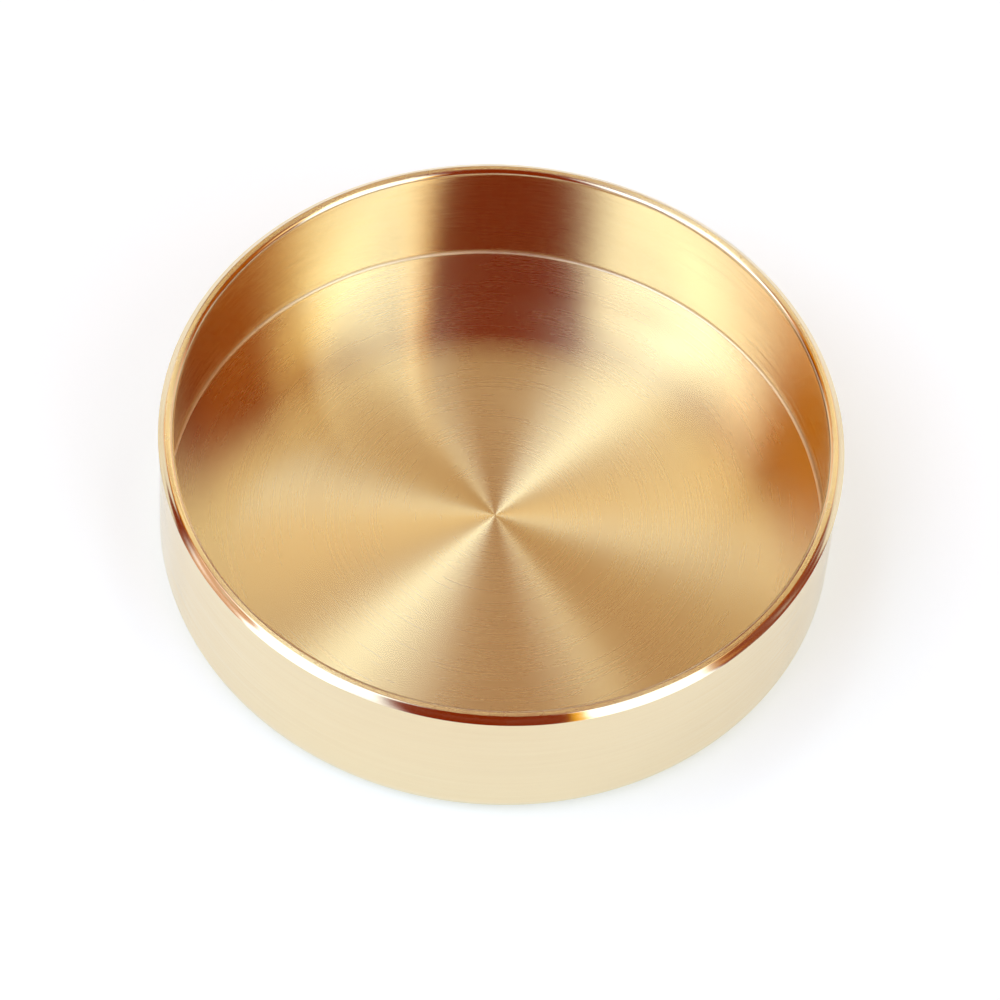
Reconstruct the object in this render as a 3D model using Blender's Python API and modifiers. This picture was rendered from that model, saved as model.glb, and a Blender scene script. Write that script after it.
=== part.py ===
"""Round brass tray: a turned wall ring, a floor plate on its ledge and the soldered seam between them.

The tray stands on the flat foot under its ledge. The origin is the middle of the underside, +Z is up,
and every length is in metres.
"""
import math

import bpy

# Overall size
TRAY_DIAMETER = 0.1397
TRAY_HEIGHT = 0.03505

# Wall ring: a thin wall with a round bead as its lip, which stands out on both sides
LIP_RADIUS = 0.00154
LIP_OVERHANG = 0.0004
WALL_THICKNESS = 0.0012
BASE_ROUND = 0.0051
LEDGE_WIDTH = 0.0066
LEDGE_HEIGHT = 0.003
FOOT_CHAMFER = 0.0005

# Floor plate, which lies on the ledge
PLATE_THICKNESS = 0.0022
PLATE_TOP_CHAMFER = 0.0005
PLATE_UNDER_CHAMFER = 0.0003

# Soldered seam in the corner between the wall and the plate
SEAM_FILLET = 0.001

# Clearances
SEAT_GAP = 0.0003
PLATE_SIDE_GAP = 0.0003
SEAM_GAP = 0.0003

# Facets
SEGMENTS = 128
LIP_STEPS = 8
ROUND_STEPS = 6
SEAM_STEPS = 4
MERGE_DISTANCE = 0.00001
SHARP_ANGLE = math.radians(35)

# How much of the seam's quarter arc is left off at each end, where it would thin out to nothing
SEAM_END_ANGLE = math.radians(25)

# Sizes that follow from the ones above
LIP_CENTRE_RADIUS = TRAY_DIAMETER / 2 - LIP_RADIUS
LIP_CENTRE_HEIGHT = TRAY_HEIGHT - LIP_RADIUS
WALL_OUTER_RADIUS = TRAY_DIAMETER / 2 - LIP_OVERHANG
INNER_RADIUS = WALL_OUTER_RADIUS - WALL_THICKNESS
FOOT_INNER_RADIUS = INNER_RADIUS - LEDGE_WIDTH
PLATE_RADIUS = INNER_RADIUS - PLATE_SIDE_GAP
PLATE_BOTTOM = LEDGE_HEIGHT + SEAT_GAP
FLOOR_HEIGHT = PLATE_BOTTOM + PLATE_THICKNESS


def arc(centre_r, centre_z, radius, start, end, steps):
    """Points (r, z) on an arc from the angle start to the angle end, both ends included."""
    points = []
    for step in range(steps + 1):
        angle = start + (end - start) * step / steps
        points.append((centre_r + radius * math.cos(angle), centre_z + radius * math.sin(angle)))
    return points


def wall_ring_profile():
    """The ring's section: down the outside, across the foot, up the inside and over the lip."""
    quarter = math.pi / 2
    bead_meets_outside = -math.acos((WALL_OUTER_RADIUS - LIP_CENTRE_RADIUS) / LIP_RADIUS)
    bead_meets_inside = 4 * quarter - math.acos((INNER_RADIUS - LIP_CENTRE_RADIUS) / LIP_RADIUS)
    lip_outside = arc(LIP_CENTRE_RADIUS, LIP_CENTRE_HEIGHT, LIP_RADIUS, quarter, bead_meets_outside, LIP_STEPS)
    base_corner = arc(WALL_OUTER_RADIUS - BASE_ROUND, BASE_ROUND, BASE_ROUND, 0, -quarter, ROUND_STEPS)
    foot_and_ledge = [
        (FOOT_INNER_RADIUS + FOOT_CHAMFER, 0),
        (FOOT_INNER_RADIUS, FOOT_CHAMFER),
        (FOOT_INNER_RADIUS, LEDGE_HEIGHT),
        (INNER_RADIUS, LEDGE_HEIGHT),
    ]
    lip_inside = arc(LIP_CENTRE_RADIUS, LIP_CENTRE_HEIGHT, LIP_RADIUS, bead_meets_inside, quarter, LIP_STEPS)
    return lip_outside + base_corner + foot_and_ledge + lip_inside[:-1]


def floor_plate_profile():
    """The plate's section, from its middle out over the top edge and back in underneath."""
    return [
        (0, PLATE_THICKNESS),
        (PLATE_RADIUS - PLATE_TOP_CHAMFER, PLATE_THICKNESS),
        (PLATE_RADIUS, PLATE_THICKNESS - PLATE_TOP_CHAMFER),
        (PLATE_RADIUS, PLATE_UNDER_CHAMFER),
        (PLATE_RADIUS - PLATE_UNDER_CHAMFER, 0),
        (0, 0),
    ]


def solder_seam_profile():
    """The seam's section above the floor: a hollow fillet whose root fills the groove at the plate's edge.

    The groove lies between the wall and the plate's top chamfer, and the seam keeps its gap to both.
    """
    wall_side = INNER_RADIUS - SEAM_GAP
    chamfer_sum = PLATE_RADIUS - PLATE_TOP_CHAMFER + SEAM_GAP * math.sqrt(2)
    root = (wall_side, chamfer_sum - wall_side)
    groove_edge = (chamfer_sum - SEAM_GAP, SEAM_GAP)
    face = arc(
        wall_side - SEAM_FILLET, SEAM_GAP + SEAM_FILLET, SEAM_FILLET,
        SEAM_END_ANGLE - math.pi / 2, -SEAM_END_ANGLE, SEAM_STEPS,
    )
    inner_foot = (face[0][0], SEAM_GAP)
    wall_top = (wall_side, face[-1][1])
    return [wall_top, root, groove_edge, inner_foot] + face


def brass(name, colour, roughness):
    material = bpy.data.materials.new(name)
    material.use_nodes = True
    shader = material.node_tree.nodes["Principled BSDF"]
    shader.inputs["Base Color"].default_value = (*colour, 1)
    shader.inputs["Metallic"].default_value = 1
    shader.inputs["Roughness"].default_value = roughness
    material.diffuse_color = (*colour, 1)
    return material


def turned(name, profile, closed, height, material, collection):
    """A solid turned about Z from a section, standing with the section's zero at the given height."""
    edges = [(i, i + 1) for i in range(len(profile) - 1)]
    if closed:
        edges.append((len(profile) - 1, 0))
    section = bpy.data.meshes.new(name + "_section")
    section.from_pydata([(r, 0, z) for r, z in profile], edges, [])
    piece = bpy.data.objects.new(name, section)
    collection.objects.link(piece)

    screw = piece.modifiers.new("Turn", "SCREW")
    screw.axis = "Z"
    screw.angle = 2 * math.pi
    screw.steps = SEGMENTS
    screw.render_steps = SEGMENTS
    screw.use_merge_vertices = True
    screw.merge_threshold = MERGE_DISTANCE

    solid = bpy.data.meshes.new_from_object(piece.evaluated_get(bpy.context.evaluated_depsgraph_get()))
    piece.modifiers.clear()
    piece.data = solid
    bpy.data.meshes.remove(section)
    solid.name = name
    solid.shade_smooth()
    solid.set_sharp_from_angle(angle=SHARP_ANGLE)
    solid.materials.append(material)
    piece.location = (0, 0, height)
    return piece


def main():
    for old in list(bpy.data.objects):
        bpy.data.objects.remove(old)

    collection = bpy.data.collections.new("round_brass_tray")
    bpy.context.scene.collection.children.link(collection)

    ring = turned(
        "wall_ring", wall_ring_profile(), True, 0,
        brass("satin_brass", (0.86, 0.69, 0.40), 0.28), collection,
    )
    plate = turned(
        "floor_plate", floor_plate_profile(), False, PLATE_BOTTOM,
        brass("circular_brushed_brass", (0.84, 0.67, 0.38), 0.35), collection,
    )
    seam = turned(
        "solder_seam", solder_seam_profile(), True, FLOOR_HEIGHT,
        brass("bright_solder", (0.93, 0.80, 0.52), 0.15), collection,
    )
    plate.parent = ring
    seam.parent = ring


main()
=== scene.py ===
import math

import bpy
from mathutils import Matrix, Vector


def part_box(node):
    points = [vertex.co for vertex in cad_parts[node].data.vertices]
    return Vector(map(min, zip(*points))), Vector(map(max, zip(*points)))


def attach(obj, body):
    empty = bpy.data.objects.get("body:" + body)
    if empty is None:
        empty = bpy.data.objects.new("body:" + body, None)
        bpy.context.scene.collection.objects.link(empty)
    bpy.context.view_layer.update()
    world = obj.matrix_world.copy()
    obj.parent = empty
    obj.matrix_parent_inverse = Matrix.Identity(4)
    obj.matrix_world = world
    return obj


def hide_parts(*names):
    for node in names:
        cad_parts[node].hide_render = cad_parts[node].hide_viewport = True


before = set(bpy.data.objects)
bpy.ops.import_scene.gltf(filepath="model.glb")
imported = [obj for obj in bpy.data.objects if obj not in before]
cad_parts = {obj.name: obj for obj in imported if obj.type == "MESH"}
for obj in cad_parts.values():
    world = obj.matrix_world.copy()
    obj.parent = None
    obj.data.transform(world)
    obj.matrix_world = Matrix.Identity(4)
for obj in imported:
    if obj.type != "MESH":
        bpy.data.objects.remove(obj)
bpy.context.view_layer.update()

MM = 0.001

# Sizes taken from the solids
ring_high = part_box("wall_ring")[1]
plate_low, plate_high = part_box("floor_plate")
OUTER_RADIUS = ring_high.x
HEIGHT = ring_high.z
FLOOR_HEIGHT = plate_high.z
PLATE_BOTTOM = plate_low.z

# Sizes of the section. The lip and the seam are finer than in the solids, and the rest is as in them
JOINT_GAP = 0.3 * MM
INNER_RADIUS = plate_high.x + JOINT_GAP
LIP_WIDTH = 3.2 * MM
LIP_ROUND = 1.1 * MM
LIP_DEPTH = 2.4 * MM
LIP_CROWN_ROUND = 0.4 * MM
LIP_SLOPE_WIDTH = 1.5 * MM
LIP_OVERHANG = 0.4 * MM
BASE_ROUND = 5.1 * MM
LEDGE_WIDTH = 6.6 * MM
FOOT_CHAMFER = 0.5 * MM
SEAM_FILLET = 0.6 * MM

# Directions in a section, in degrees
OUTWARD = 0
UP = 90
INWARD = 180
DOWN = -90
LIP_SLOPE_FACING = 48
# The seam's fillet stops short of level at the plate, and of upright at the wall, by this much
SEAM_END_ANGLE = 4

# Fineness of the turned meshes
SEGMENTS = 384
ROUND_STEPS = 14
WALL_STEPS = 12
PLATE_TOP_STEPS = 24
PLATE_UNDER_STEPS = 12
# Edges that bend more than this stay sharp, in degrees
SHARP_ANGLE = 30


def arc(centre, radius, start, end):
    """Points (r, z) on an arc about a centre (r, z), between two angles in degrees."""
    points = []
    for step in range(ROUND_STEPS + 1):
        angle = math.radians(start + (end - start) * step / ROUND_STEPS)
        points.append((centre[0] + radius * math.cos(angle), centre[1] + radius * math.sin(angle)))
    return points


def straight(start, end, steps):
    """Points between two ends of a straight run, both ends left out."""
    return [
        (start[0] + (end[0] - start[0]) * i / steps, start[1] + (end[1] - start[1]) * i / steps)
        for i in range(1, steps)
    ]


def turned(name, profile, closed=True):
    """A piece turned about Z from a section that runs down its outer side."""
    count = len(profile)
    vertices = []
    rings = []
    for r, z in profile:
        if r == 0:
            rings.append([len(vertices)] * SEGMENTS)
            vertices.append((0, 0, z))
            continue
        rings.append(list(range(len(vertices), len(vertices) + SEGMENTS)))
        for i in range(SEGMENTS):
            angle = 2 * math.pi * i / SEGMENTS
            vertices.append((r * math.cos(angle), r * math.sin(angle), z))
    faces = []
    for k in range(count if closed else count - 1):
        upper, lower = rings[k], rings[(k + 1) % count]
        for i in range(SEGMENTS):
            j = (i + 1) % SEGMENTS
            corners = [upper[i], lower[i], lower[j], upper[j]]
            # At the axis two corners are one point, and the face is a triangle
            faces.append(list(dict.fromkeys(corners)))
    mesh = bpy.data.meshes.new(name)
    mesh.from_pydata(vertices, [], faces)
    mesh.update()
    mesh.shade_smooth()
    mesh.set_sharp_from_angle(angle=math.radians(SHARP_ANGLE))
    piece = bpy.data.objects.new(name, mesh)
    bpy.context.scene.collection.objects.link(piece)
    return piece


def wall_profile():
    """The wall with its lip, rounded bottom edge, foot and the ledge that carries the plate."""
    wall_outer = OUTER_RADIUS - LIP_OVERHANG
    crown = (OUTER_RADIUS - LIP_SLOPE_WIDTH, HEIGHT - LIP_CROWN_ROUND)
    lip_outside = arc(crown, LIP_CROWN_ROUND, UP, LIP_SLOPE_FACING)
    slope_r, slope_z = lip_outside[-1]
    lip_edge = slope_z - (OUTER_RADIUS - slope_r) / math.tan(math.radians(LIP_SLOPE_FACING))
    lip_outside += [(OUTER_RADIUS, lip_edge), (wall_outer, lip_edge - LIP_OVERHANG)]
    base = arc((wall_outer - BASE_ROUND, BASE_ROUND), BASE_ROUND, OUTWARD, DOWN)
    outside = straight(lip_outside[-1], base[0], WALL_STEPS)
    foot_inner = INNER_RADIUS - LEDGE_WIDTH
    ledge_top = PLATE_BOTTOM - JOINT_GAP
    foot = [
        (foot_inner + FOOT_CHAMFER, 0),
        (foot_inner, FOOT_CHAMFER),
        (foot_inner, ledge_top),
        (INNER_RADIUS, ledge_top),
    ]
    under_lip = (INNER_RADIUS, HEIGHT - LIP_DEPTH)
    inside = straight(foot[-1], under_lip, WALL_STEPS) + [under_lip]
    lip_inner = OUTER_RADIUS - LIP_WIDTH
    lip_inside = [(lip_inner, HEIGHT - LIP_DEPTH)]
    lip_inside += arc((lip_inner + LIP_ROUND, HEIGHT - LIP_ROUND), LIP_ROUND, INWARD, UP)
    return lip_outside + outside + base + foot + inside + lip_inside


def plate_profile():
    """The plate from the middle of its top out to the wall, and back along its underside."""
    under = PLATE_BOTTOM - JOINT_GAP
    top_middle = (0, FLOOR_HEIGHT)
    top_edge = (INNER_RADIUS, FLOOR_HEIGHT)
    bottom_edge = (INNER_RADIUS, under)
    bottom_middle = (0, under)
    top = [top_middle] + straight(top_middle, top_edge, PLATE_TOP_STEPS) + [top_edge]
    bottom = [bottom_edge] + straight(bottom_edge, bottom_middle, PLATE_UNDER_STEPS) + [bottom_middle]
    return top + bottom


def seam_profile():
    """The fillet in the corner between the plate and the wall."""
    corner = (INNER_RADIUS, FLOOR_HEIGHT)
    centre = (INNER_RADIUS - SEAM_FILLET, FLOOR_HEIGHT + SEAM_FILLET)
    return [corner] + arc(centre, SEAM_FILLET, DOWN + SEAM_END_ANGLE, OUTWARD - SEAM_END_ANGLE)


class Nodes:
    """Adds nodes to one node tree, with their inputs given as values or as other nodes' outputs."""

    def __init__(self, tree):
        self.tree = tree

    def add(self, kind, inputs=(), **settings):
        node = self.tree.nodes.new("ShaderNode" + kind)
        for key, value in settings.items():
            setattr(node, key, value)
        for key, value in dict(inputs).items():
            self.set(node, key, value)
        return node

    def set(self, node, key, value):
        if isinstance(value, bpy.types.NodeSocket):
            self.tree.links.new(value, node.inputs[key])
        else:
            node.inputs[key].default_value = value

    def math(self, operation, *values, clamp=False):
        node = self.add("Math", enumerate(values), operation=operation, use_clamp=clamp)
        return node.outputs[0]

    def vector(self, operation, *values, output="Vector"):
        node = self.add("VectorMath", enumerate(values), operation=operation)
        return node.outputs[output]

    def scale(self, value, factor):
        """A vector made longer or shorter by a factor."""
        node = self.add("VectorMath", {0: value, "Scale": factor}, operation="SCALE")
        return node.outputs["Vector"]

    def flat(self, value):
        """A vector without its height."""
        return self.vector("MULTIPLY", value, (1, 1, 0))

    def step(self, value, low, high):
        """0 below low, 1 above high, smooth between."""
        node = self.add(
            "MapRange",
            {"Value": value, "From Min": low, "From Max": high},
            interpolation_type="SMOOTHSTEP",
        )
        return node.outputs["Result"]


# Clean brass, and brass where marks and tarnish have darkened it
BRASS = (0.83, 0.70, 0.46, 1)
WARM_BRASS = (0.75, 0.60, 0.36, 1)

# A noise value seldom leaves this range
NOISE_LOW = 0.25
NOISE_HIGH = 0.75
TARNISH_DETAIL = 3

# The share of a full turn between the way round the axis and the way a highlight spreads
HIGHLIGHT_TURN = 0.25


def turning_place(nodes):
    """Where a point lies on a turned piece: the way round the axis as a unit vector, and the distance along
    the turned section."""
    place = nodes.add("TexCoord").outputs["Object"]
    flat = nodes.flat(place)
    radius = nodes.vector("LENGTH", flat, output="Value")
    around = nodes.vector("NORMALIZE", flat)
    height = nodes.add("SeparateXYZ", {0: place}).outputs[2]
    return around, nodes.math("ADD", radius, height)


def turning_marks(nodes, around, along, width, arc_share, detail=0.0):
    """Marks left by turning or brushing, from 0 to 1. Their width is along the section, and their length,
    round the axis, is a share of the radius."""
    lengthwise = nodes.scale(around, 1 / arc_share)
    crosswise = nodes.add("CombineXYZ", {2: nodes.math("DIVIDE", along, width)}).outputs[0]
    place = nodes.vector("ADD", lengthwise, crosswise)
    return nodes.add("TexNoise", {"Vector": place, "Scale": 1, "Detail": detail}).outputs[0]


def tarnish(nodes, size):
    """Soft uneven patches, from 0 to 1."""
    place = nodes.add("TexCoord").outputs["Object"]
    inputs = {"Vector": place, "Scale": 1 / size, "Detail": TARNISH_DETAIL}
    return nodes.add("TexNoise", inputs).outputs[0]


def scaled(nodes, value, low, high):
    """A noise value spread from low to high, straight between its usual least and most."""
    inputs = {"Value": value, "From Min": NOISE_LOW, "From Max": NOISE_HIGH, "To Min": low, "To Max": high}
    return nodes.add("MapRange", inputs).outputs["Result"]


def brass_colour(nodes, worn):
    """Brass that goes from clean to warm with a share from 0 to 1."""
    node = nodes.add("Mix", {"Factor": worn, "A": BRASS, "B": WARM_BRASS}, data_type="RGBA")
    return node.outputs[2]


def tilted_normal(nodes, tangent, slope):
    """The surface's normal, tilted along the turned section by a slope."""
    normal = nodes.add("NewGeometry").outputs["Normal"]
    across = nodes.vector("CROSS_PRODUCT", normal, tangent)
    return nodes.vector("NORMALIZE", nodes.vector("ADD", normal, nodes.scale(across, slope)))


def brass_shader(nodes, material, roughness, anisotropic, colour, slope):
    """Brass whose marks run round the axis, so that a highlight spreads along the turned section."""
    shader = material.node_tree.nodes["Principled BSDF"]
    nodes.set(shader, "Base Color", colour)
    shader.inputs["Metallic"].default_value = 1
    nodes.set(shader, "Roughness", roughness)
    shader.inputs["Anisotropic"].default_value = anisotropic
    shader.inputs["Anisotropic Rotation"].default_value = HIGHLIGHT_TURN
    tangent = nodes.add("Tangent", direction_type="RADIAL", axis="Z").outputs[0]
    nodes.set(shader, "Tangent", tangent)
    nodes.set(shader, "Normal", tilted_normal(nodes, tangent, slope))


def new_material(name):
    material = bpy.data.materials.new(name)
    material.use_nodes = True
    return material, Nodes(material.node_tree)


def level_share(nodes, low, high):
    """0 where the surface stands upright, 1 where it lies level."""
    normal = nodes.add("TexCoord").outputs["Normal"]
    upward = nodes.math("ABSOLUTE", nodes.add("SeparateXYZ", {0: normal}).outputs[2])
    return nodes.step(upward, low, high)


# How far the wall leans over, from 0 upright to 1 level, where the change to a rounding's roughness starts
# and ends, and where the change to that of a level place does
WALL_ROUNDING_LEAN = (0, 0.3)
WALL_LEVEL_LEAN = (0.9, 0.99)
WALL_ROUGHNESS = 0.07
WALL_ROUNDING_ROUGHNESS = 0.13
WALL_LEVEL_ROUGHNESS = 0.27
WALL_ANISOTROPY = 0.9
WALL_HAIR_WIDTH = 0.06 * MM
WALL_HAIR_ARC = 0.3
WALL_HAIR_SLOPE = 0.125
WALL_LINE_WIDTH = 0.9 * MM
WALL_LINE_ARC = 0.6
WALL_LINE_DETAIL = 2
WALL_LINE_SLOPE = 0.004
WALL_PATCH_SIZE = 9 * MM
WALL_PATCH_DULLING = (0.92, 1.08)
WALL_PATCH_WEAR = (0.1, 0.3)


def wall_material():
    """Polished by turning on its sides and roundings, brushed on the flat of its lip and foot."""
    material, nodes = new_material("turned_wall_brass")
    around, along = turning_place(nodes)
    hairs = turning_marks(nodes, around, along, WALL_HAIR_WIDTH, WALL_HAIR_ARC)
    lines = turning_marks(nodes, around, along, WALL_LINE_WIDTH, WALL_LINE_ARC, WALL_LINE_DETAIL)
    patches = tarnish(nodes, WALL_PATCH_SIZE)
    rounding = level_share(nodes, *WALL_ROUNDING_LEAN)
    rounding = nodes.math("MULTIPLY", rounding, WALL_ROUNDING_ROUGHNESS - WALL_ROUGHNESS)
    brushed = level_share(nodes, *WALL_LEVEL_LEAN)
    brushed = nodes.math("MULTIPLY", brushed, WALL_LEVEL_ROUGHNESS - WALL_ROUNDING_ROUGHNESS)
    roughness = nodes.math("ADD", nodes.math("ADD", rounding, brushed), WALL_ROUGHNESS)
    roughness = nodes.math("MULTIPLY", roughness, scaled(nodes, patches, *WALL_PATCH_DULLING))
    worn = nodes.math("MULTIPLY", scaled(nodes, lines, 0, 1), scaled(nodes, patches, *WALL_PATCH_WEAR))
    hair_slope = scaled(nodes, hairs, -WALL_HAIR_SLOPE, WALL_HAIR_SLOPE)
    line_slope = scaled(nodes, lines, -WALL_LINE_SLOPE, WALL_LINE_SLOPE)
    slope = nodes.math("ADD", hair_slope, line_slope)
    brass_shader(nodes, material, roughness, WALL_ANISOTROPY, brass_colour(nodes, worn), slope)
    return material


PLATE_ROUGHNESS = (0.26, 0.28)
PLATE_ANISOTROPY = 1.0
PLATE_HAIR_WIDTH = 0.06 * MM
PLATE_HAIR_ARC = 0.4
PLATE_HAIR_SLOPE = 0.01
PLATE_RING_WIDTH = 0.5 * MM
PLATE_RING_ARC = 0.7
PLATE_RING_DETAIL = 1
PLATE_RING_SLOPE = 0.0015
PLATE_RING_DULLING = (0.97, 1.03)
PLATE_RING_WEAR = (0, 0.05)
PLATE_PATCH_SIZE = 14 * MM
PLATE_PATCH_WEAR = (0.5, 1)


def plate_material():
    """Brushed in fine rings about the middle."""
    material, nodes = new_material("brushed_floor_brass")
    around, along = turning_place(nodes)
    hairs = turning_marks(nodes, around, along, PLATE_HAIR_WIDTH, PLATE_HAIR_ARC)
    rings = turning_marks(nodes, around, along, PLATE_RING_WIDTH, PLATE_RING_ARC, PLATE_RING_DETAIL)
    patches = tarnish(nodes, PLATE_PATCH_SIZE)
    roughness = scaled(nodes, patches, *PLATE_ROUGHNESS)
    roughness = nodes.math("MULTIPLY", roughness, scaled(nodes, rings, *PLATE_RING_DULLING))
    worn = scaled(nodes, rings, *PLATE_RING_WEAR)
    worn = nodes.math("MULTIPLY", worn, scaled(nodes, patches, *PLATE_PATCH_WEAR))
    hair_slope = scaled(nodes, hairs, -PLATE_HAIR_SLOPE, PLATE_HAIR_SLOPE)
    ring_slope = scaled(nodes, rings, -PLATE_RING_SLOPE, PLATE_RING_SLOPE)
    slope = nodes.math("ADD", hair_slope, ring_slope)
    brass_shader(nodes, material, roughness, PLATE_ANISOTROPY, brass_colour(nodes, worn), slope)
    return material


SEAM_ROUGHNESS = (0.34, 0.4)
SEAM_ANISOTROPY = 0.3
SEAM_RIPPLE_WIDTH = 1.2 * MM
SEAM_RIPPLE_ARC = 0.05
SEAM_RIPPLE_DETAIL = 1
SEAM_RIPPLE_SLOPE = 0.03
SEAM_WEAR = (0, 0.15)


def seam_material():
    """Solder, smooth but slightly uneven round the corner."""
    material, nodes = new_material("seam_brass")
    around, along = turning_place(nodes)
    ripples = turning_marks(nodes, around, along, SEAM_RIPPLE_WIDTH, SEAM_RIPPLE_ARC, SEAM_RIPPLE_DETAIL)
    roughness = scaled(nodes, ripples, *SEAM_ROUGHNESS)
    slope = scaled(nodes, ripples, -SEAM_RIPPLE_SLOPE, SEAM_RIPPLE_SLOPE)
    colour = brass_colour(nodes, scaled(nodes, ripples, *SEAM_WEAR))
    brass_shader(nodes, material, roughness, SEAM_ANISOTROPY, colour, slope)
    return material


def dress(piece, material, node):
    piece.data.materials.append(material)
    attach(piece, "root")
    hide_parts(node)


def make_tray():
    wall = turned("tray_wall", wall_profile())
    dress(wall, wall_material(), "wall_ring")
    plate = turned("tray_floor", plate_profile(), closed=False)
    dress(plate, plate_material(), "floor_plate")
    seam = turned("tray_seam", seam_profile())
    dress(seam, seam_material(), "solder_seam")


# The photograph's camera, from the fit of the rim, the floor and the outline
IMAGE_SIDE = 1000
CAMERA_ELEVATION = math.radians(55.21)
CAMERA_ROLL = math.radians(4.96)
CAMERA_DISTANCE = 1.25
FOCAL_PIXELS = 6084
SENSOR_WIDTH = 36
TRAY_MIDDLE_PIXEL = (498.0, 481.9)


def make_camera():
    middle = Vector((0, 0, HEIGHT / 2))
    back = Vector((0, -math.cos(CAMERA_ELEVATION), math.sin(CAMERA_ELEVATION)))
    turn = back.to_track_quat("Z", "Y").to_matrix() @ Matrix.Rotation(CAMERA_ROLL, 3, "Z")
    metres_per_pixel = CAMERA_DISTANCE / FOCAL_PIXELS
    right = (IMAGE_SIDE / 2 - TRAY_MIDDLE_PIXEL[0]) * metres_per_pixel
    up = (TRAY_MIDDLE_PIXEL[1] - IMAGE_SIDE / 2) * metres_per_pixel
    look_at = middle + turn.col[0] * right + turn.col[1] * up
    camera = bpy.data.objects.new("camera", bpy.data.cameras.new("camera"))
    camera.data.lens = FOCAL_PIXELS * SENSOR_WIDTH / IMAGE_SIDE
    camera.data.sensor_width = SENSOR_WIDTH
    camera.matrix_world = Matrix.Translation(look_at + back * CAMERA_DISTANCE) @ turn.to_4x4()
    bpy.context.scene.collection.objects.link(camera)
    bpy.context.scene.camera = camera


STAGE_SIZE = 6
STAGE_CELLS = 8
STAGE_COLOUR = (0.8, 0.8, 0.8, 1)
STAGE_GLOW = (0.295, 0.372, 0.377, 1)


def make_stage():
    """A pale floor. What the camera and the brass see of it is lifted to white, and it keeps its shadow."""
    bpy.ops.mesh.primitive_grid_add(x_subdivisions=STAGE_CELLS, y_subdivisions=STAGE_CELLS, size=STAGE_SIZE)
    floor = bpy.context.object
    floor.name = "stage_floor"
    material, nodes = new_material("pale_floor")
    shader = material.node_tree.nodes["Principled BSDF"]
    shader.inputs["Base Color"].default_value = STAGE_COLOUR
    shader.inputs["Roughness"].default_value = 1
    shader.inputs["Specular IOR Level"].default_value = 0
    path = nodes.add("LightPath")
    seen = nodes.math("ADD", path.outputs["Is Camera Ray"], path.outputs["Is Glossy Ray"])
    seen = nodes.math("ADD", seen, path.outputs["Is Transmission Ray"], clamp=True)
    nodes.set(shader, "Emission Strength", seen)
    shader.inputs["Emission Color"].default_value = STAGE_GLOW
    floor.data.materials.append(material)


# The studio is what the brass reflects, by direction: a white backdrop low down, soft lights above its top
# edge, and a dim warm room between them. The edge's height and softness are in degrees
BACKDROP_TOP = 12.5
BACKDROP_SOFT = 5
BACKDROP_COLOUR = (1, 1, 1)
ROOM_COLOUR = (0.25, 0.025, 0)
# Each soft light: azimuth of its middle, half width, softness of its sides, lower and upper edge and their
# softness, all in degrees, and its colour. Azimuth runs from +X to +Y, and the camera is at 270 degrees
STUDIO_LIGHTS = {
    "key_left": (209, 34, 16, 29, 76, 4, (1.80, 2.35, 3.00)),
    "second_right": (319, 18, 4, 8, 63, 6, (1.45, 2.00, 2.70)),
    "back": (90, 20, 20, 46, 55, 4, (1.60, 1.65, 0.95)),
    "overhead_left": (142, 40, 4, 66, 72, 4, (2.80, 3.50, 3.40)),
    "overhead_right": (0, 38, 6, 70, 73, 6, (5.80, 6.70, 6.00)),
    "brown_left": (156, 36, 5, 39, 58, 7, (0.60, 0.30, 0)),
    "brown_right": (4, 28, 15, 27, 61, 6, (0.25, 0.10, 0)),
    "above_second": (345, 6, 20, 40, 76, 25, (1.50, 1.70, 1.15)),
    "below_back": (65, 15, 36, 38, 48, 4, (1.10, 1.35, 1.30)),
    "slit_right": (301, 4, 4, 8, 54, 4, (0.95, 0.60, 0)),
    "slit_left": (118, 5, 5, 42, 52, 4, (0.95, 1.80, 2.70)),
    "low_left": (141, 14, 8, 14, 36, 6, (0.90, 0.75, 0.55)),
    "low_right": (45, 16, 8, 14, 36, 6, (0.80, 0.65, 0.50)),
    "low_key": (198, 22, 8, 13, 29, 6, (0.55, 0.40, 0.25)),
}


def cosine(degrees):
    return math.cos(math.radians(degrees))


def sine(degrees):
    return math.sin(math.radians(degrees))


def soft_light(nodes, facing, height, middle, half_width, side_soft, low, high, edge_soft):
    """1 inside a soft light's outline and 0 outside it, with soft edges. The angles are in degrees."""
    towards = nodes.vector("DOT_PRODUCT", facing, (cosine(middle), sine(middle), 0), output="Value")
    within = nodes.step(towards, cosine(half_width + side_soft / 2), cosine(half_width - side_soft / 2))
    over_low = nodes.step(height, sine(low - edge_soft / 2), sine(low + edge_soft / 2))
    under_high = nodes.step(height, sine(high + edge_soft / 2), sine(high - edge_soft / 2))
    return nodes.math("MULTIPLY", within, nodes.math("MULTIPLY", over_low, under_high))


def make_world():
    world = bpy.data.worlds.new("studio")
    bpy.context.scene.world = world
    world.use_nodes = True
    nodes = Nodes(world.node_tree)
    direction = nodes.add("TexCoord").outputs["Generated"]
    facing = nodes.vector("NORMALIZE", nodes.flat(direction))
    height = nodes.add("SeparateXYZ", {0: direction}).outputs[2]
    light = ROOM_COLOUR
    for *outline, colour in STUDIO_LIGHTS.values():
        share = soft_light(nodes, facing, height, *outline)
        light = nodes.vector("MULTIPLY_ADD", share, colour, light)
    fade_start = sine(BACKDROP_TOP - BACKDROP_SOFT / 2)
    fade_end = sine(BACKDROP_TOP + BACKDROP_SOFT / 2)
    above = nodes.step(height, fade_start, fade_end)
    whole = nodes.add("Mix", {"Factor": above, "A": BACKDROP_COLOUR, "B": light}, data_type="VECTOR")
    background = world.node_tree.nodes["Background"]
    nodes.set(background, "Color", whole.outputs[1])


make_tray()
make_camera()
make_stage()
make_world()
bpy.context.scene.view_settings.view_transform = "Standard"
